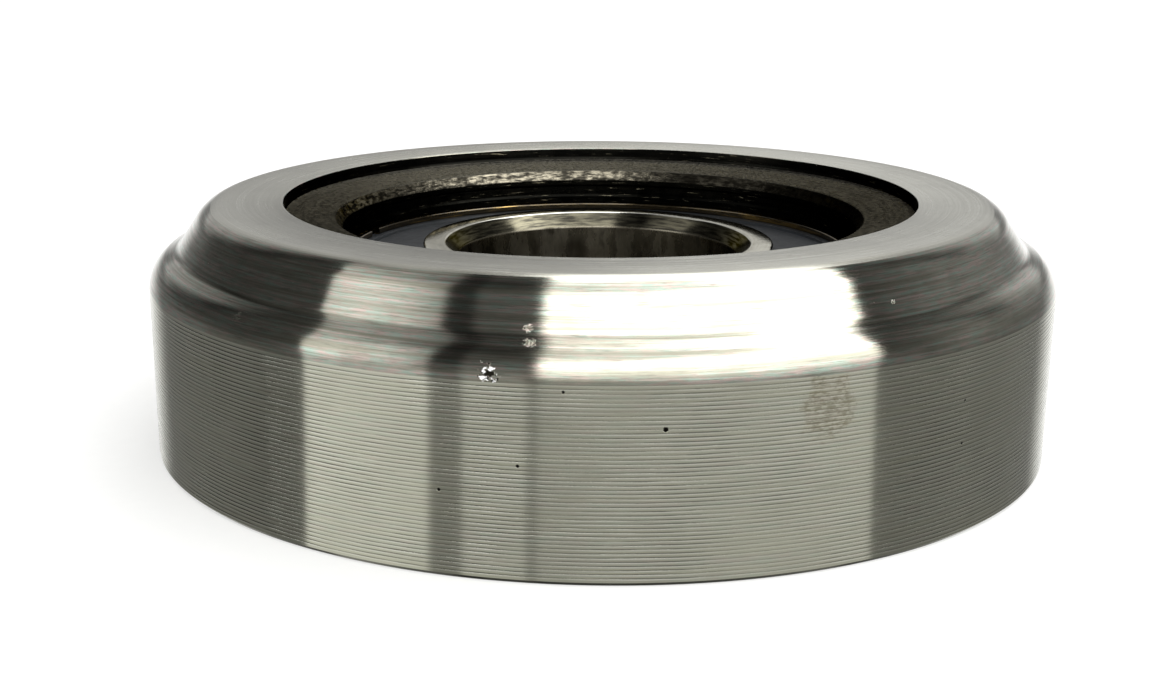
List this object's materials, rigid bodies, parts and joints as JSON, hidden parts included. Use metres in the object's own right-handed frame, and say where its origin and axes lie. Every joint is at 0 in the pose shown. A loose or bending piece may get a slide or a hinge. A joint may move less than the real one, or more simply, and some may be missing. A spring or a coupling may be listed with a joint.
{
  "type": "yoke-type cam follower",
  "caption": "Thick-walled roller with one rounded, sloping shoulder, running on a sealed single-row ball bearing with a plain chamfered bore.",
  "frame": {"origin": "on the axis of rotation, at the roller's lower face", "axes": "+Z along the axis, towards the counterbored face; +X and +Y are any two radii"},
  "size_m": [0.128, 0.128, 0.0345],
  "materials": {
    "roller_steel": "fine-turned hardened steel",
    "race_steel": "ground steel",
    "ball_steel": "lapped chromium steel",
    "cage_steel": "pressed mild steel",
    "rivet_steel": "headed mild steel",
    "insert_steel": "pressed mild steel",
    "spring_steel": "oiled spring steel",
    "seal_rubber": "moulded nitrile rubber"
  },
  "bodies": {
    "inner": {"inner_ring": "race_steel"},
    "roller": {"outer_ring": "roller_steel", "seal_rubber_upper": "seal_rubber", "seal_rubber_lower": "seal_rubber", "seal_insert_upper": "insert_steel", "seal_insert_lower": "insert_steel", "retaining_ring_upper": "spring_steel", "retaining_ring_lower": "spring_steel"},
    "cage": {"cage_upper": "cage_steel", "cage_lower": "cage_steel", "rivet_1": "rivet_steel", "rivet_2": "rivet_steel", "rivet_3": "rivet_steel", "rivet_4": "rivet_steel", "rivet_5": "rivet_steel", "rivet_6": "rivet_steel", "rivet_7": "rivet_steel", "rivet_8": "rivet_steel"},
    "ball_1": {"ball_1": "ball_steel"},
    "ball_2": {"ball_2": "ball_steel"},
    "ball_3": {"ball_3": "ball_steel"},
    "ball_4": {"ball_4": "ball_steel"},
    "ball_5": {"ball_5": "ball_steel"},
    "ball_6": {"ball_6": "ball_steel"},
    "ball_7": {"ball_7": "ball_steel"},
    "ball_8": {"ball_8": "ball_steel"}
  },
  "joints": [
    {"name": "roller_spin", "type": "hinge", "parent": "inner", "child": "roller", "pos_m": [0, 0, 0.01394], "axis": [0, 0, 1], "continuous": true},
    {"name": "cage_orbit", "type": "hinge", "parent": "inner", "child": "cage", "pos_m": [0, 0, 0.01394], "axis": [0, 0, 1], "continuous": true},
    {"name": "ball_1_roll", "type": "hinge", "parent": "cage", "child": "ball_1", "pos_m": [0.03042, 0, 0.01394], "axis": [0, 0, 1], "continuous": true},
    {"name": "ball_2_roll", "type": "hinge", "parent": "cage", "child": "ball_2", "pos_m": [0.02151, 0.02151, 0.01394], "axis": [0, 0, 1], "continuous": true},
    {"name": "ball_3_roll", "type": "hinge", "parent": "cage", "child": "ball_3", "pos_m": [0, 0.03042, 0.01394], "axis": [0, 0, 1], "continuous": true},
    {"name": "ball_4_roll", "type": "hinge", "parent": "cage", "child": "ball_4", "pos_m": [-0.02151, 0.02151, 0.01394], "axis": [0, 0, 1], "continuous": true},
    {"name": "ball_5_roll", "type": "hinge", "parent": "cage", "child": "ball_5", "pos_m": [-0.03042, 0, 0.01394], "axis": [0, 0, 1], "continuous": true},
    {"name": "ball_6_roll", "type": "hinge", "parent": "cage", "child": "ball_6", "pos_m": [-0.02151, -0.02151, 0.01394], "axis": [0, 0, 1], "continuous": true},
    {"name": "ball_7_roll", "type": "hinge", "parent": "cage", "child": "ball_7", "pos_m": [0, -0.03042, 0.01394], "axis": [0, 0, 1], "continuous": true},
    {"name": "ball_8_roll", "type": "hinge", "parent": "cage", "child": "ball_8", "pos_m": [0.02151, -0.02151, 0.01394], "axis": [0, 0, 1], "continuous": true}
  ],
  "couplings": [
    {"joint": "cage_orbit", "follows": "roller_spin", "ratio": 0.61775},
    {"joint": "ball_1_roll", "follows": "roller_spin", "ratio": 2.0127},
    {"joint": "ball_2_roll", "follows": "roller_spin", "ratio": 2.0127},
    {"joint": "ball_3_roll", "follows": "roller_spin", "ratio": 2.0127},
    {"joint": "ball_4_roll", "follows": "roller_spin", "ratio": 2.0127},
    {"joint": "ball_5_roll", "follows": "roller_spin", "ratio": 2.0127},
    {"joint": "ball_6_roll", "follows": "roller_spin", "ratio": 2.0127},
    {"joint": "ball_7_roll", "follows": "roller_spin", "ratio": 2.0127},
    {"joint": "ball_8_roll", "follows": "roller_spin", "ratio": 2.0127}
  ]
}
